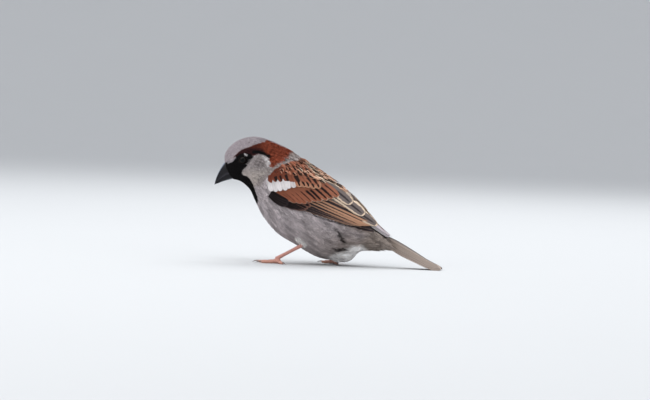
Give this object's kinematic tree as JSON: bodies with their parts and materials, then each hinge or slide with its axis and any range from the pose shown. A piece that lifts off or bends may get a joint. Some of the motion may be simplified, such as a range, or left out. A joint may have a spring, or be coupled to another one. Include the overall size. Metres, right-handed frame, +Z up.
{
  "type": "house sparrow",
  "caption": "Life-size still model of an adult male house sparrow standing head low, folded wings, tail tip on the floor.",
  "frame": {"origin": "middle of the bird's overall box at floor level", "axes": "+Z up, the bird faces -X, its left side is -Y"},
  "size_m": [0.1394, 0.0488, 0.0748],
  "materials": {
    "plumage_grey": "soft grey feathers of crown, cheeks and neck",
    "plumage_breast": "loose grey-white feathers of breast and belly",
    "plumage_wing": "chestnut, buff and black patterned flight feathers",
    "plumage_tail": "brown tail feathers with pale edges",
    "bill": "smooth black horn",
    "eye": "wet dark brown cornea",
    "leg": "scaled pinkish skin",
    "claw": "grey-brown horn"
  },
  "bodies": {
    "root": {"head": "plumage_grey", "neck": "plumage_grey", "trunk": "plumage_breast", "tail": "plumage_tail", "bill_upper": "bill", "bill_lower": "bill", "eye_left": "eye", "wing_left": "plumage_wing", "thigh_left": "plumage_breast", "tarsus_left": "leg", "toe_left_1": "leg", "claw_left_1": "claw", "toe_left_2": "leg", "claw_left_2": "claw", "toe_left_3": "leg", "claw_left_3": "claw", "toe_left_4": "leg", "claw_left_4": "claw", "eye_right": "eye", "wing_right": "plumage_wing", "thigh_right": "plumage_breast", "tarsus_right": "leg", "toe_right_1": "leg", "claw_right_1": "claw", "toe_right_2": "leg", "claw_right_2": "claw", "toe_right_3": "leg", "claw_right_3": "claw", "toe_right_4": "leg", "claw_right_4": "claw"}
  },
  "joints": []
}
